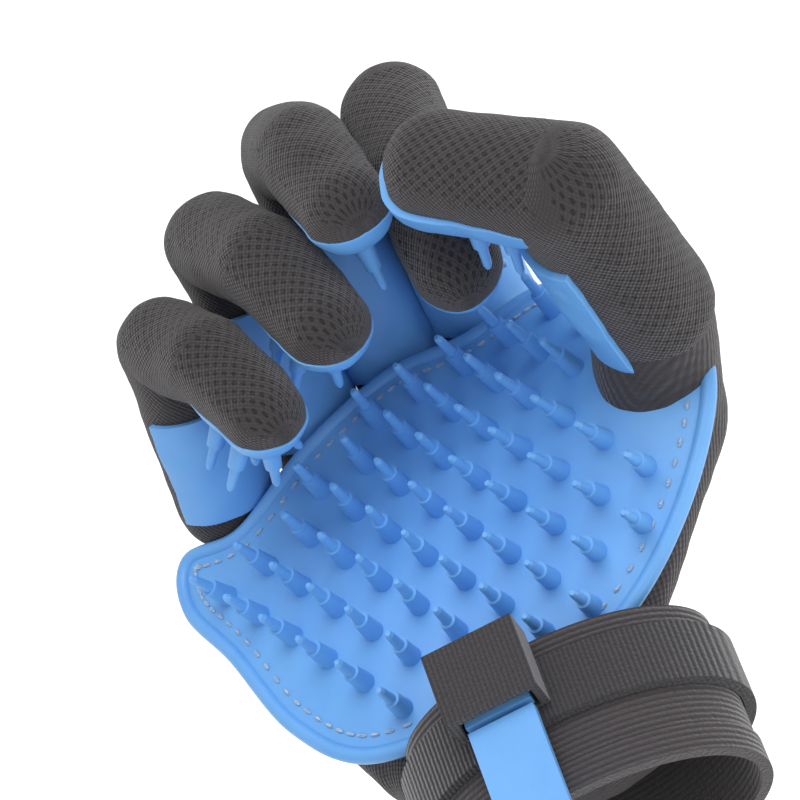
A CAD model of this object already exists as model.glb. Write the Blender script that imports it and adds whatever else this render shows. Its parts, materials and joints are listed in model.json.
import json
import math

import bmesh
import bpy
from mathutils import Matrix, Vector


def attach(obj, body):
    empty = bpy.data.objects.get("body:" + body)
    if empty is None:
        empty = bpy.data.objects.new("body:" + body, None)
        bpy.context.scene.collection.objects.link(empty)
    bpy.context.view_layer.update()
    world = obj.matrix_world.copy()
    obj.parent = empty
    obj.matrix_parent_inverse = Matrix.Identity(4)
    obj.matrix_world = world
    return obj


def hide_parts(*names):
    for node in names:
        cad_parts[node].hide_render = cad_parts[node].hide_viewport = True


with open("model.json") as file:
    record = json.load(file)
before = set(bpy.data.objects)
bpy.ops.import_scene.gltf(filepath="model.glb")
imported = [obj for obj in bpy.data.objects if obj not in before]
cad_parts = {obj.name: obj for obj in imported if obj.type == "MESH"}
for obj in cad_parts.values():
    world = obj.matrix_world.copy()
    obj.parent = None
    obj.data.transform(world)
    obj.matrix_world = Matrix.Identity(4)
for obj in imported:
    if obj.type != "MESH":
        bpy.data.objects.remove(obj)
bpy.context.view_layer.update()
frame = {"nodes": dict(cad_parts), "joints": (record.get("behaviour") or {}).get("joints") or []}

# The glove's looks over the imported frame: palm up, +X to the thumb, +Y to the fingertips, +Z out of the palm.
MM = 0.001
CUFF = 34 * MM
bpy.ops.object.select_all(action="DESELECT")

JOINTS = {joint["name"]: joint for joint in frame["joints"]}


# ---------------------------------------------------------------- camera, light and floor
CAMERA_AZIMUTH, CAMERA_ELEVATION, CAMERA_ROLL = 12.9, 50.2, -37.2
CAMERA_DISTANCE = 0.9
FRAME_WIDTH = 0.1465
SENSOR_WIDTH = 36
AIM = Vector((-0.0014, 0.0821, 0.0372))


def camera_axes(azimuth, elevation, roll):
    """The camera's right, up and back directions, from its angles in degrees."""
    a, e, r = (math.radians(angle) for angle in (azimuth, elevation, roll))
    back = Vector((math.sin(a) * math.cos(e), -math.cos(a) * math.cos(e), math.sin(e)))
    level = Vector((math.cos(a), math.sin(a), 0))
    upward = back.cross(level)
    right = level * math.cos(r) + upward * math.sin(r)
    return right, back.cross(right), back


def add_camera():
    right, up, back = camera_axes(CAMERA_AZIMUTH, CAMERA_ELEVATION, CAMERA_ROLL)
    turn = Matrix((right, up, back)).transposed().to_4x4()
    bpy.ops.object.camera_add()
    camera = bpy.context.object
    camera.name = "photo_camera"
    camera.matrix_world = Matrix.Translation(AIM + back * CAMERA_DISTANCE) @ turn
    camera.data.sensor_width = SENSOR_WIDTH
    camera.data.lens = SENSOR_WIDTH * CAMERA_DISTANCE / FRAME_WIDTH
    camera.data.clip_end = 10
    bpy.context.scene.camera = camera


def add_light(name, right_part, up_part, back_part, energy, side):
    """A square soft light, placed by how far it is along the camera's own axes."""
    right, up, back = camera_axes(CAMERA_AZIMUTH, CAMERA_ELEVATION, CAMERA_ROLL)
    place = AIM + right * right_part + up * up_part + back * back_part
    bpy.ops.object.light_add(type="AREA", location=place)
    light = bpy.context.object
    light.name = name
    light.data.energy = energy
    light.data.size = side
    light.rotation_euler = (place - AIM).to_track_quat("Z", "Y").to_euler()


def linear(hex_colour):
    """An sRGB hex colour as linear RGBA."""
    parts = [int(hex_colour[i:i + 2], 16) / 255 for i in (1, 3, 5)]
    return [p / 12.92 if p <= 0.04045 else ((p + 0.055) / 1.055) ** 2.4 for p in parts] + [1]


# ---------------------------------------------------------------- materials
def new_material(name, roughness, ior=1.5):
    material = bpy.data.materials.new(name)
    material.use_nodes = True
    shader = material.node_tree.nodes["Principled BSDF"]
    shader.inputs["Roughness"].default_value = roughness
    shader.inputs["IOR"].default_value = ior
    return material, shader


def add_node(material, kind, **settings):
    """One node, with its sockets set from values or linked from other nodes' sockets."""
    item = material.node_tree.nodes.new(kind)
    for key, value in settings.items():
        name = key.replace("_", " ")
        if hasattr(item, key) and name not in item.inputs:
            setattr(item, key, value)
        elif isinstance(value, bpy.types.NodeSocket):
            material.node_tree.links.new(value, item.inputs[name])
        else:
            item.inputs[name].default_value = value
    return item


def math_node(material, operation, first, second=None):
    item = material.node_tree.nodes.new("ShaderNodeMath")
    item.operation = operation
    for socket, value in zip(item.inputs, (first, second)):
        if isinstance(value, bpy.types.NodeSocket):
            material.node_tree.links.new(value, socket)
        elif value is not None:
            socket.default_value = value
    return item.outputs[0]


def colour_mix(material, factor, low, high):
    ramp = material.node_tree.nodes.new("ShaderNodeValToRGB")
    ramp.color_ramp.elements[0].color = linear(low)
    ramp.color_ramp.elements[1].color = linear(high)
    material.node_tree.links.new(factor, ramp.inputs["Fac"])
    return ramp.outputs["Color"]


def join_up(material, shader, colour=None, height=None, distance=0.0003, strength=1.0):
    links = material.node_tree.links
    if colour is not None:
        links.new(colour, shader.inputs["Base Color"])
    if height is not None:
        bump = add_node(material, "ShaderNodeBump", Height=height, Distance=distance, Strength=strength)
        links.new(bump.outputs["Normal"], shader.inputs["Normal"])


def object_noise(material, scale, detail=3.0):
    where = add_node(material, "ShaderNodeTexCoord").outputs["Object"]
    return add_node(material, "ShaderNodeTexNoise", Vector=where, Scale=scale, Detail=detail).outputs["Fac"]


def silicone(name, low="#5b9ce0", high="#74b3ee"):
    """Moulded thermoplastic rubber: satin, slightly translucent, with a faint mould grain."""
    material, shader = new_material(name, 0.42, 1.43)
    tint = object_noise(material, 60)
    grain = object_noise(material, 2600, 2)
    shader.inputs["Subsurface Weight"].default_value = 0.12
    shader.inputs["Subsurface Scale"].default_value = 0.003
    shader.inputs["Coat Weight"].default_value = 0.12
    shader.inputs["Coat Roughness"].default_value = 0.35
    join_up(material, shader, colour_mix(material, tint, low, high), grain, 0.00004, 0.5)
    return material


def cloth_steps(material, pitch_along, pitch_around):
    """The cloth's own coordinates, in steps of the given pitches."""
    where = add_node(material, "ShaderNodeAttribute", attribute_name="cloth").outputs["Vector"]
    split = add_node(material, "ShaderNodeSeparateXYZ", Vector=where)
    along = math_node(material, "DIVIDE", split.outputs["X"], pitch_along)
    around = math_node(material, "DIVIDE", split.outputs["Y"], pitch_around)
    return along, around, split.outputs["Z"]


def sine_of(material, turns):
    return math_node(material, "SINE", math_node(material, "MULTIPLY", turns, 2 * math.pi))


KNIT_PITCH = 1.1 * MM
HOLE_ALONG = 2.9 * MM
HOLE_AROUND = 2.6 * MM
HOLE_EDGE = 0.28
HOLE_DARKNESS = 0.8
HOLE_DEPTH = 2.2
FABRIC_BUMP = 0.35 * MM
RIB_BUMP = 0.4 * MM


def glove_fabric(name):
    """Polyester: a fine warp knit, and where the mask says so an open air mesh with rows of oval holes."""
    material, shader = new_material(name, 0.86)
    along, around, _ = cloth_steps(material, KNIT_PITCH, KNIT_PITCH)
    knit = math_node(material, "MULTIPLY", sine_of(material, along), sine_of(material, around))
    along, around, mask = cloth_steps(material, HOLE_ALONG, HOLE_AROUND)
    product = math_node(material, "MULTIPLY", sine_of(material, along), sine_of(material, around))
    hole = math_node(material, "MULTIPLY", math_node(material, "GREATER_THAN", product, HOLE_EDGE), mask)
    fuzz = object_noise(material, 900, 4)
    fade = object_noise(material, 45, 3)
    body = colour_mix(material, fade, "#2a2629", "#443e40")
    fine = math_node(material, "ADD", math_node(material, "MULTIPLY", knit, 0.5), fuzz)
    shade = math_node(material, "ADD", math_node(material, "MULTIPLY", knit, 0.14), 0.86)
    solid = math_node(material, "SUBTRACT", 1.0, math_node(material, "MULTIPLY", hole, HOLE_DARKNESS))
    keep = math_node(material, "MULTIPLY", shade, solid)
    tinted = add_node(material, "ShaderNodeVectorMath", operation="SCALE")
    material.node_tree.links.new(body, tinted.inputs[0])
    material.node_tree.links.new(keep, tinted.inputs["Scale"])
    height = math_node(material, "SUBTRACT", fine, math_node(material, "MULTIPLY", hole, HOLE_DEPTH))
    shader.inputs["Sheen Weight"].default_value = 0.2
    shader.inputs["Sheen Roughness"].default_value = 0.5
    join_up(material, shader, tinted.outputs[0], height, FABRIC_BUMP, 0.8)
    return material


def ribbed(name, axis, pitch, low, high):
    """Elastic webbing: even ribs along one row axis, with woven fuzz."""
    material, shader = new_material(name, 0.85)
    where = add_node(material, "ShaderNodeTexCoord").outputs["Object"]
    split = add_node(material, "ShaderNodeSeparateXYZ", Vector=where)
    rib = sine_of(material, math_node(material, "DIVIDE", split.outputs[axis], pitch))
    fuzz = object_noise(material, 1500, 4)
    level = math_node(material, "ADD", math_node(material, "MULTIPLY", rib, 0.35), fuzz)
    shader.inputs["Sheen Weight"].default_value = 0.35
    join_up(material, shader, colour_mix(material, level, low, high), level, RIB_BUMP, 0.8)
    return material


RUBBER = silicone("blue_rubber_look")
FABRIC = glove_fabric("glove_fabric_look")
CUFF_CLOTH = ribbed("elastic_cuff_look", "Y", 1.3 * MM, "#262225", "#423c3f")
LOOP_CLOTH = ribbed("loop_webbing_look", "X", 0.9 * MM, "#1c1a1e", "#3a363a")
HOOK = ribbed("hook_tape_look", "Y", 0.8 * MM, "#18171a", "#2b292d")
PILE = ribbed("pile_tape_look", "X", 0.6 * MM, "#201e21", "#39363a")
THREAD = ribbed("thread_look", "Z", 0.3 * MM, "#86abd6", "#b9d3ee")


def paint(piece, material):
    piece.data.materials.clear()
    piece.data.materials.append(material)


# ---------------------------------------------------------------- mesh helpers
def pick(objects):
    bpy.ops.object.select_all(action="DESELECT")
    for item in objects:
        item.select_set(True)
    bpy.context.view_layer.objects.active = objects[0]


def settle(piece):
    """Moves the object's placement into its mesh, so that the object sits at the origin."""
    pick([piece])
    bpy.ops.object.transform_apply(location=True, rotation=True, scale=True)


def add_ball(centre, radius, squash=(1, 1, 1)):
    bpy.ops.mesh.primitive_uv_sphere_add(segments=32, ring_count=20, radius=radius, location=centre)
    ball = bpy.context.object
    ball.scale = squash
    settle(ball)
    return ball


def add_limb(start, end, radius_start, radius_end):
    run = Vector(end) - Vector(start)
    bpy.ops.mesh.primitive_cone_add(vertices=32, radius1=radius_start, radius2=radius_end, depth=run.length,
                                    location=(Vector(start) + Vector(end)) / 2,
                                    rotation=run.to_track_quat("Z", "Y").to_euler())
    cone = bpy.context.object
    settle(cone)
    return [cone, add_ball(start, radius_start), add_ball(end, radius_end)]


def apply_all(piece):
    pick([piece])
    for modifier in list(piece.modifiers):
        bpy.ops.object.modifier_apply(modifier=modifier.name)


CREASE_SIZE = 14 * MM
CREASE_DEPTH = 1.6 * MM


def melt(name, items, voxel, rounds):
    """Joins solids into one soft skin: remeshed, smoothed and lightly creased."""
    pick(items)
    bpy.ops.object.join()
    piece = bpy.context.object
    piece.name = name
    remesh = piece.modifiers.new("remesh", "REMESH")
    remesh.mode = "VOXEL"
    remesh.voxel_size = voxel
    smooth = piece.modifiers.new("smooth", "SMOOTH")
    smooth.factor = 0.5
    smooth.iterations = rounds
    creases = bpy.data.textures.new(name + "_creases", "CLOUDS")
    creases.noise_scale = CREASE_SIZE
    push = piece.modifiers.new("creases", "DISPLACE")
    push.texture = creases
    push.texture_coords = "LOCAL"
    push.strength = CREASE_DEPTH
    push.mid_level = 0.5
    apply_all(piece)
    bpy.ops.object.shade_smooth()
    return piece


MESH_HALF_ANGLE = math.radians(58)


def dress(piece, bones, palm_side, around_radius):
    """Writes each vertex's cloth coordinates: along and around the nearest bone, and the air mesh's share."""
    layer = piece.data.attributes.new("cloth", "FLOAT_VECTOR", "POINT")
    for vertex in piece.data.vertices:
        nearest = None
        travelled = 0.0
        for start, end in bones:
            run = end - start
            axis = run.normalized()
            share = max(0.0, min(1.0, (vertex.co - start).dot(run) / run.length_squared))
            off = vertex.co - (start + run * share)
            if nearest is None or off.length < nearest[0].length:
                nearest = (off, axis, (vertex.co - start).dot(axis) + travelled)
            travelled += run.length
        off, axis, along = nearest
        up = (palm_side - axis * palm_side.dot(axis)).normalized()
        side = axis.cross(up)
        angle = math.atan2(off.dot(side), -off.dot(up))
        back = 1.0 if abs(angle) < MESH_HALF_ANGLE else 0.0
        layer.data[vertex.index].vector = (along, angle * around_radius, back)


def finish_piece(piece, material, body, replaced=()):
    paint(piece, material)
    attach(piece, body)
    if replaced:
        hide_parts(*replaced)
    return piece


# ---------------------------------------------------------------- digits
# Bends between the bones and lengths past the middle joint are as in the CAD sizes, in degrees and mm.
# The fabric's radii, in mm, are a little fuller than the CAD's shells.
FINGERS = {
    "index": {"fold": 99, "tip_bend": 30, "middle": 25, "tip": 20},
    "middle": {"fold": 76, "tip_bend": 30, "middle": 28, "tip": 22},
    "ring": {"fold": 84, "tip_bend": 30, "middle": 26, "tip": 21},
    "little": {"fold": 78, "tip_bend": 30, "middle": 20, "tip": 18},
}
FABRIC_RADII = {"index": (10.2, 10.0, 8.8), "middle": (10.2, 10.0, 8.6), "ring": (10, 9.8, 8.6),
                "little": (9.4, 9.2, 8)}
THUMB_FOLD, THUMB_TIP_LENGTH = 87, 26
THUMB_RADII = (12.5, 12, 10.5)
VOXEL = 0.9 * MM


def joint_point(name):
    return Vector(JOINTS[name]["pos_m"])


def turned(vector, axis, degrees):
    return Matrix.Rotation(math.radians(degrees), 3, axis) @ vector


def digit_bones(digit):
    """The knuckle, the points from the middle joint on, and the palm's direction at the base and the tip."""
    axis = Vector(JOINTS[digit + "_knuckle"]["axis"])
    knuckle, fold = joint_point(digit + "_knuckle"), joint_point(digit + "_bend")
    first = (fold - knuckle).normalized()
    if digit == "thumb":
        last = turned(first, axis, THUMB_FOLD)
        points = [fold, fold + last * THUMB_TIP_LENGTH * MM]
    else:
        size = FINGERS[digit]
        second = turned(first, axis, size["fold"])
        last = turned(second, axis, size["tip_bend"])
        crook = fold + second * size["middle"] * MM
        points = [fold, crook, crook + last * size["tip"] * MM]
    return knuckle, points, turned(first, axis, 90), turned(last, axis, 90)


def add_digit(digit, radii):
    """A digit's fabric: one skin on its first bone and one on the rest, which moves at the middle joint."""
    knuckle, points, base_palm, tip_palm = digit_bones(digit)
    base_radius, fold_radius, tip_radius = (radius * MM for radius in radii)
    base = melt(digit + "_base_skin", add_limb(knuckle, points[0], base_radius, fold_radius), VOXEL, 4)
    dress(base, [(knuckle, points[0])], base_palm, base_radius)
    finish_piece(base, FABRIC, digit + "_base", [digit + "_base_mesh", digit + "_base_knit"])
    solids = []
    taper = [fold_radius + (tip_radius - fold_radius) * i / (len(points) - 1) for i in range(len(points))]
    for i in range(len(points) - 1):
        solids += add_limb(points[i], points[i + 1], taper[i], taper[i + 1])
    tip = melt(digit + "_tip_skin", solids, VOXEL, 6)
    dress(tip, list(zip(points, points[1:])), tip_palm, fold_radius)
    finish_piece(tip, FABRIC, digit + "_tip", [digit + "_tip_knit"])


for digit, radii in FABRIC_RADII.items():
    add_digit(digit, radii)
add_digit("thumb", THUMB_RADII)


# ---------------------------------------------------------------- hand
def bead_along(name, points, radius):
    """A round rim that follows a closed run of points."""
    curve = bpy.data.curves.new(name, "CURVE")
    curve.dimensions = "3D"
    curve.bevel_depth = radius
    curve.bevel_resolution = 3
    spline = curve.splines.new("POLY")
    spline.points.add(len(points) - 1)
    for target, point in zip(spline.points, points):
        target.co = (*point, 1)
    spline.use_cyclic_u = True
    rim = bpy.data.objects.new(name, curve)
    bpy.context.collection.objects.link(rim)
    pick([rim])
    bpy.ops.object.convert(target="MESH")
    bpy.ops.object.shade_smooth()
    return rim


WRIST_OFFSET = 12


def hand_point(x, y, z):
    return Vector(((x - WRIST_OFFSET) * MM, CUFF + y * MM, z * MM))


PALM_LEVEL, THENAR_HEIGHT, THENAR_SPREAD = 8, 11, 23
HEEL_DROP, ULNAR_DROP = 4, 7
THUMB_X, THUMB_Y = 59, 47


def palm_height(x, y):
    """The rubber's outer face, in mm, as the CAD has it."""
    from_mound = ((x - THUMB_X + 6) ** 2 + (y - THUMB_Y + 2) ** 2) / (2 * THENAR_SPREAD ** 2)
    mound = THENAR_HEIGHT * math.exp(-from_mound)
    heel = HEEL_DROP * math.exp(-max(y - 2, -4) / 16)
    edge = ULNAR_DROP * (max(-x - 8, 0) / 38) ** 2
    return PALM_LEVEL + mound - heel - edge


SHEET_OUTLINE = [(-24, 4), (0, 1), (27, 4), (49, 18), (62, 36), (61, 54), (50, 70), (38, 77), (22, 76),
                 (5, 78), (-14, 72), (-33, 63), (-46, 66), (-49, 56), (-43, 40), (-36, 18)]


def smooth_loop(points, steps):
    """A closed Catmull-Rom loop through the points."""
    loop = []
    count = len(points)
    for i in range(count):
        a, b, c, d = (Vector(points[(i + k) % count]) for k in (-1, 0, 1, 2))
        for step in range(steps):
            t = step / steps
            loop.append(0.5 * ((2 * b) + (c - a) * t + (2 * a - 5 * b + 4 * c - d) * t * t
                               + (3 * b - a - 3 * c + d) * t ** 3))
    return loop


def inset_loop(loop, distance):
    inner = []
    for i, point in enumerate(loop):
        run = loop[(i + 1) % len(loop)] - loop[i - 1]
        inner.append(point + Vector((-run.y, run.x)).normalized() * distance)
    return inner


SHEET_LIFT = 0.35
SHEET_RINGS = 26
SHEET_CENTRE = Vector((6, 40))
SHEET_THICKNESS = 2.2 * MM
LOOP_STEPS = 12
RIM_RADIUS = 1.6 * MM
RIM_LIFT = -0.3
STITCH_INSET = 3.4
STITCH_LIFT = 0.45
STITCH_RADIUS = 0.42 * MM
STITCH_STRETCH = 2.4
SHEET_LOOP = smooth_loop(SHEET_OUTLINE, LOOP_STEPS)


def on_sheet(point, lift):
    return hand_point(point.x, point.y, palm_height(point.x, point.y) + lift)


def add_sheet():
    """The moulded sheet: rings of points from its middle to its outline, made thick, with a bead rim."""
    mesh = bmesh.new()
    middle = mesh.verts.new(on_sheet(SHEET_CENTRE, SHEET_LIFT))
    rings = []
    for ring in range(1, SHEET_RINGS + 1):
        share = ring / SHEET_RINGS
        rings.append([mesh.verts.new(on_sheet(SHEET_CENTRE.lerp(point, share), SHEET_LIFT))
                      for point in SHEET_LOOP])
    count = len(SHEET_LOOP)
    for i in range(count):
        following = (i + 1) % count
        mesh.faces.new((middle, rings[0][i], rings[0][following]))
        for inner, outer in zip(rings, rings[1:]):
            mesh.faces.new((inner[i], outer[i], outer[following], inner[following]))
    data = bpy.data.meshes.new("palm_sheet_skin")
    mesh.to_mesh(data)
    mesh.free()
    piece = bpy.data.objects.new("palm_sheet_skin", data)
    bpy.context.collection.objects.link(piece)
    thick = piece.modifiers.new("thick", "SOLIDIFY")
    thick.thickness = SHEET_THICKNESS
    thick.offset = -1
    apply_all(piece)
    bpy.ops.object.shade_smooth()
    finish_piece(piece, RUBBER, "hand", ["palm_sheet"])
    rim = bead_along("palm_rim", [on_sheet(point, RIM_LIFT) for point in SHEET_LOOP], RIM_RADIUS)
    finish_piece(rim, RUBBER, "hand")


def add_stitches():
    """A run of thread stitches set a little in from the rim."""
    loop = inset_loop(SHEET_LOOP, STITCH_INSET)
    stitches = []
    for start, end in zip(loop[::2], loop[1::2]):
        a, b = on_sheet(start, STITCH_LIFT), on_sheet(end, STITCH_LIFT)
        middle, run = (a + b) / 2, b - a
        bpy.ops.mesh.primitive_uv_sphere_add(segments=8, ring_count=6, radius=STITCH_RADIUS, location=middle,
                                             rotation=run.to_track_quat("Z", "Y").to_euler())
        stitch = bpy.context.object
        stitch.scale = (1, 1, STITCH_STRETCH)
        stitches.append(stitch)
    pick(stitches)
    bpy.ops.object.join()
    row = bpy.context.object
    row.name = "edge_stitching"
    settle(row)
    bpy.ops.object.shade_smooth()
    finish_piece(row, THREAD, "hand")


HAND_VOXEL = 1.3 * MM


def add_hand():
    """The fabric of the hand: limbs to the knuckles, the thumb and both edges, gathered at the wrist."""
    solids = []
    for digit, radius in (("index", 10), ("middle", 10), ("ring", 9.5), ("little", 8.5)):
        knuckle = joint_point(digit + "_knuckle")
        heel_x = (knuckle.x / MM + WRIST_OFFSET) * 0.45
        solids += add_limb(hand_point(heel_x, 3, -9), knuckle - Vector((0, 0, 5 * MM)), 9 * MM, radius * MM)
    solids += add_limb(hand_point(20, 8, -8), hand_point(50, 44, 2), 9 * MM, 12 * MM)
    solids += add_limb(hand_point(50, 44, 2), joint_point("thumb_knuckle"), 12 * MM, 12 * MM)
    solids += add_limb(hand_point(-20, 8, -10), hand_point(-40, 56, -10), 8 * MM, 8 * MM)
    solids += add_limb(hand_point(10, 12, -7), hand_point(20, 60, -7), 9 * MM, 10 * MM)
    solids.append(add_ball(hand_point(11, -9, 0), 26 * MM, (1.05, 0.5, 0.62)))
    hand = melt("hand_skin", solids, HAND_VOXEL, 8)
    knuckle_line = joint_point("middle_knuckle")
    dress(hand, [(hand_point(0, -6, -4), knuckle_line)], Vector((0, 0, 1)), 24 * MM)
    finish_piece(hand, FABRIC, "hand", ["hand_back_mesh", "hand_side_knit", "palm_liner"])


add_hand()
add_sheet()
add_stitches()


# ---------------------------------------------------------------- rubber on the digits
BASE_RUBBER = 1.6 * MM
PAD_RUBBER = 1.7 * MM
PAD_PROUD = 1.9 * MM
RUBBER_EDGE = 0.5 * MM
BASE_TAPER = 0.97
FINGER_STOP = 12 * MM
THUMB_STOP = 10 * MM
PAD_RADII = {"index": 7, "middle": 7, "ring": 7, "little": 6.5}
THUMB_PAD_RADIUS = 9.9


def trim(piece, cuts):
    """Keeps what lies on the normal's side of each plane, as an open skin."""
    pick([piece])
    bpy.ops.object.mode_set(mode="EDIT")
    for place, normal in cuts:
        bpy.ops.mesh.select_all(action="SELECT")
        bpy.ops.mesh.bisect(plane_co=place, plane_no=normal, clear_inner=True)
    bpy.ops.object.mode_set(mode="OBJECT")


def mould_edge(shell, thickness):
    """Makes an open skin as thick as its moulding, inwards, and rounds its edge."""
    thick = shell.modifiers.new("thick", "SOLIDIFY")
    thick.thickness = thickness
    thick.offset = -1
    edge = shell.modifiers.new("edge", "BEVEL")
    edge.width = RUBBER_EDGE
    edge.segments = 3
    edge.limit_method = "ANGLE"
    apply_all(shell)


def add_base_rubber(digit, radius, wrap, start):
    """The rubber that runs up the palm side of a digit's first bone from start, with a rounded edge.

    It reaches down each side to wrap times its radius above the bone's axis, and stops short of the bend.
    """
    knuckle, points, palm, _ = digit_bones(digit)
    run = (points[0] - knuckle).normalized()
    cover = melt(digit + "_base_rubber", add_limb(knuckle, points[0], radius, radius * BASE_TAPER), VOXEL, 3)
    trim(cover, ((knuckle + palm * wrap * radius, palm), (knuckle + run * start, run),
                 (points[0] - run * (THUMB_STOP if digit == "thumb" else FINGER_STOP), -run)))
    mould_edge(cover, BASE_RUBBER)
    finish_piece(cover, RUBBER, digit + "_base")


def add_pad(digit, radius, start, wrap):
    """A rubber cap over the palm side of the last bone, open at its start, with a rounded edge."""
    _, points, _, palm = digit_bones(digit)
    bone_start, bone_end = points[-2], points[-1]
    run = (bone_end - bone_start).normalized()
    outside = radius + PAD_PROUD
    pieces = add_limb(bone_start, bone_end, outside, outside)
    pad = melt(digit + "_pad_skin", pieces, VOXEL, 3)
    trim(pad, ((bone_start + palm * wrap * radius, palm), (bone_start + run * start, run)))
    mould_edge(pad, PAD_RUBBER)
    finish_piece(pad, RUBBER, digit + "_tip", [digit + "_tip_pad"])


for digit, radii in FABRIC_RADII.items():
    add_base_rubber(digit, (radii[0] + 1.1) * MM, 0.25, 2 * MM)
add_base_rubber("thumb", (THUMB_RADII[0] + 1.3) * MM, -0.1, -3 * MM)
for digit, radius in PAD_RADII.items():
    add_pad(digit, radius * MM, 3 * MM, 0.2)
add_pad("thumb", THUMB_PAD_RADIUS * MM, 2 * MM, -0.05)


# ---------------------------------------------------------------- CAD nodes that stay
LOOKS = {
    "cuff_sleeve": CUFF_CLOTH, "cuff_hem": CUFF_CLOTH, "keeper_loop": LOOP_CLOTH, "wrist_strap": LOOP_CLOTH,
    "strap_tail": RUBBER, "strap_anchor": RUBBER, "hook_patch": HOOK, "pile_patch": PILE, "palm_pins": RUBBER,
}
for digit in JOINTS:
    if digit.endswith("_bend"):
        LOOKS[digit.replace("_bend", "_tip_pins")] = RUBBER
for name, look in LOOKS.items():
    for place in range(len(frame["nodes"][name].data.materials)):
        frame["nodes"][name].data.materials[place] = look


# ---------------------------------------------------------------- stage
bpy.ops.mesh.primitive_plane_add(size=30, location=(0, 0, -0.3))
floor = bpy.context.object
floor.name = "studio_floor"
floor_look, floor_shader = new_material("studio_floor_look", 0.9)
floor_shader.inputs["Base Color"].default_value = linear("#fbfbfb")
floor_shader.inputs["Emission Color"].default_value = linear("#ffffff")
floor_shader.inputs["Emission Strength"].default_value = 0.35
paint(floor, floor_look)

add_camera()
add_light("key", -0.35, 0.75, 0.7, 7, 0.7)
add_light("fill", 0.7, 0.1, 0.7, 2.5, 0.8)
add_light("front", 0.0, -0.3, 0.9, 1.5, 0.9)
world = bpy.data.worlds.new("studio")
bpy.context.scene.world = world
world.use_nodes = True
world.node_tree.nodes["Background"].inputs["Color"].default_value = linear("#ffffff")
world.node_tree.nodes["Background"].inputs["Strength"].default_value = 0.6
bpy.context.scene.view_settings.view_transform = "Standard"
